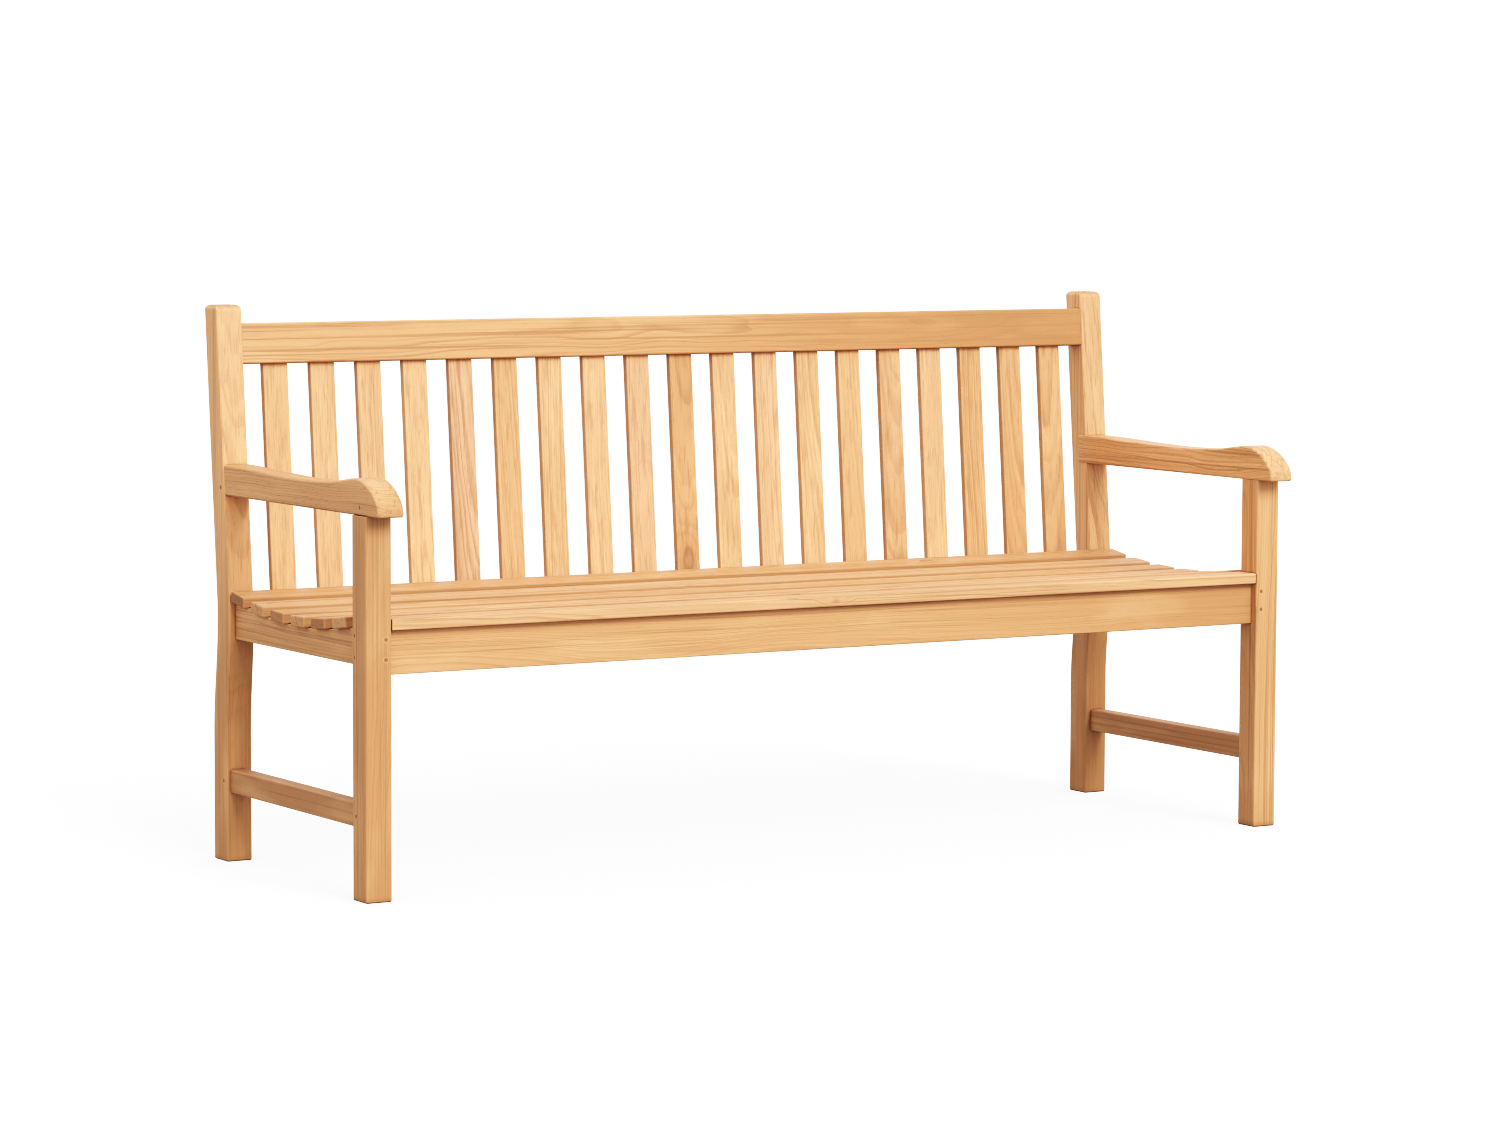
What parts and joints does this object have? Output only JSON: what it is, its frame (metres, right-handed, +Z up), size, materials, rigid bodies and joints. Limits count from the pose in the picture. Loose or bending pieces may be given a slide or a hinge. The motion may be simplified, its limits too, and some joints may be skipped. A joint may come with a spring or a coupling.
{
  "type": "garden bench",
  "caption": "Long garden bench with a slatted leaning back, a dished slatted seat, rolled arms and end stretchers, in pegged mortise and tenon joints.",
  "frame": {"origin": "on the ground, under the middle of the bench, halfway between the noses of the arms and the backs of the post tops", "axes": "+X along the bench, +Y from the front of the seat to its back, +Z up"},
  "size_m": [1.8, 0.638, 0.933],
  "materials": {
    "teak_legs": "sanded teak, unoiled, straight grain along the leg",
    "teak_rails": "sanded teak, unoiled",
    "teak_back_slats": "sanded teak, unoiled, boards of mixed tone",
    "teak_seat": "sanded teak, unoiled, boards of mixed tone",
    "teak_arms": "sanded teak, unoiled, rounded by hand",
    "teak_pegs": "teak end grain, sanded flush",
    "brass_screws": "plain brass"
  },
  "bodies": {
    "root": {"apron_pegs": "teak_pegs", "arm_left": "teak_arms", "arm_pegs": "teak_pegs", "arm_right": "teak_arms", "back_slat_01": "teak_back_slats", "back_slat_02": "teak_back_slats", "back_slat_03": "teak_back_slats", "back_slat_04": "teak_back_slats", "back_slat_05": "teak_back_slats", "back_slat_06": "teak_back_slats", "back_slat_07": "teak_back_slats", "back_slat_08": "teak_back_slats", "back_slat_09": "teak_back_slats", "back_slat_10": "teak_back_slats", "back_slat_11": "teak_back_slats", "back_slat_12": "teak_back_slats", "back_slat_13": "teak_back_slats", "back_slat_14": "teak_back_slats", "back_slat_15": "teak_back_slats", "back_slat_16": "teak_back_slats", "back_slat_17": "teak_back_slats", "back_slat_18": "teak_back_slats", "back_slat_19": "teak_back_slats", "front_apron": "teak_rails", "front_leg_left": "teak_legs", "front_leg_right": "teak_legs", "rear_post_left": "teak_legs", "rear_post_right": "teak_legs", "rear_seat_rail": "teak_rails", "rear_seat_rail_pegs": "teak_pegs", "seat_bearer_left": "teak_rails", "seat_bearer_right": "teak_rails", "seat_plugs": "teak_pegs", "seat_screws": "brass_screws", "seat_slat_1": "teak_seat", "seat_slat_2": "teak_seat", "seat_slat_3": "teak_seat", "seat_slat_4": "teak_seat", "seat_slat_5": "teak_seat", "seat_slat_6": "teak_seat", "seat_slat_7": "teak_seat", "side_rail_left": "teak_rails", "side_rail_pegs": "teak_pegs", "side_rail_right": "teak_rails", "stretcher_left": "teak_rails", "stretcher_pegs": "teak_pegs", "stretcher_right": "teak_rails", "top_rail": "teak_rails", "top_rail_pegs": "teak_pegs"}
  },
  "joints": []
}
